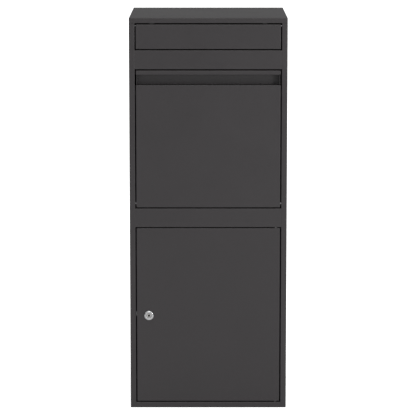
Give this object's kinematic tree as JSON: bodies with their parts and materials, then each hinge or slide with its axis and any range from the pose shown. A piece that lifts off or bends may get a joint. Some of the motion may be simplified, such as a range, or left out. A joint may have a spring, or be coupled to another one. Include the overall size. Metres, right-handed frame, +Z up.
{
  "type": "parcel and letter box",
  "caption": "Upright folded-steel parcel and letter box with a top letter flap, a tipping parcel flap with grip groove and hopper, and a lockable collection door.",
  "frame": {"origin": "centre of the base's underside, on the floor, midway between the side walls and between the front and back faces", "axes": "+X to the right of a person facing the front, +Y from the front to the back wall, +Z up"},
  "size_m": [0.41, 0.3899, 1.03],
  "materials": {
    "powder_coat": "anthracite powder coat, fine texture, satin-matt",
    "zinc": "zinc-plated steel",
    "chrome": "bright chrome",
    "plug_metal": "nickel-plated lock plug",
    "nylon": "grey nylon",
    "rubber": "black rubber"
  },
  "bodies": {
    "cabinet": {"side_panel_left": "powder_coat", "side_panel_right": "powder_coat", "top_cap": "powder_coat", "back_panel": "powder_coat", "base_pan": "powder_coat", "upper_rail": "powder_coat", "middle_rail": "powder_coat", "bottom_rail": "powder_coat", "letter_chute": "powder_coat", "fishing_guard": "powder_coat", "strike_plate": "zinc", "door_pin_top": "zinc", "door_pin_bottom": "zinc", "letter_bush_left": "nylon", "letter_bush_right": "nylon", "parcel_bush_left": "nylon", "parcel_bush_right": "nylon", "door_buffer_upper": "rubber", "door_buffer_lower": "rubber", "flap_buffer_left": "rubber", "flap_buffer_right": "rubber", "letter_stop_left": "rubber", "letter_stop_right": "rubber", "base_plug_1": "rubber", "base_plug_2": "rubber", "base_plug_3": "rubber", "base_plug_4": "rubber", "back_plug_1": "rubber", "back_plug_2": "rubber", "back_plug_3": "rubber", "back_plug_4": "rubber"},
    "letter_flap": {"letter_flap": "powder_coat", "letter_pin_left": "zinc", "letter_pin_right": "zinc"},
    "parcel_hopper": {"parcel_flap": "powder_coat", "hopper_tray": "powder_coat", "hopper_cheek_left": "powder_coat", "hopper_cheek_right": "powder_coat", "grip_end_left": "powder_coat", "grip_end_right": "powder_coat", "parcel_pin_left": "zinc", "parcel_pin_right": "zinc"},
    "door": {"door": "powder_coat", "door_stiffener": "powder_coat", "door_bush_top": "nylon", "door_bush_bottom": "nylon", "lock_housing": "chrome", "lock_gasket": "rubber", "lock_nut": "zinc"},
    "lock": {"lock_plug": "plug_metal", "lock_cam": "zinc", "cam_screw": "zinc"}
  },
  "joints": [
    {"name": "letter_flap_hinge", "type": "hinge", "parent": "cabinet", "child": "letter_flap", "pos_m": [0, -0.186, 1.0088], "axis": [1, 0, 0], "range_deg": [0, 70]},
    {"name": "parcel_flap_hinge", "type": "hinge", "parent": "cabinet", "child": "parcel_hopper", "pos_m": [0, -0.186, 0.5455], "axis": [1, 0, 0], "range_deg": [0, 40]},
    {"name": "door_hinge", "type": "hinge", "parent": "cabinet", "child": "door", "pos_m": [0.1766, -0.185, 0.25], "axis": [0, 0, 1], "range_deg": [0, 110]},
    {"name": "lock_turn", "type": "hinge", "parent": "door", "child": "lock", "pos_m": [-0.1557, -0.1727, 0.2486], "axis": [0, 1, 0], "range_deg": [0, 90]}
  ]
}
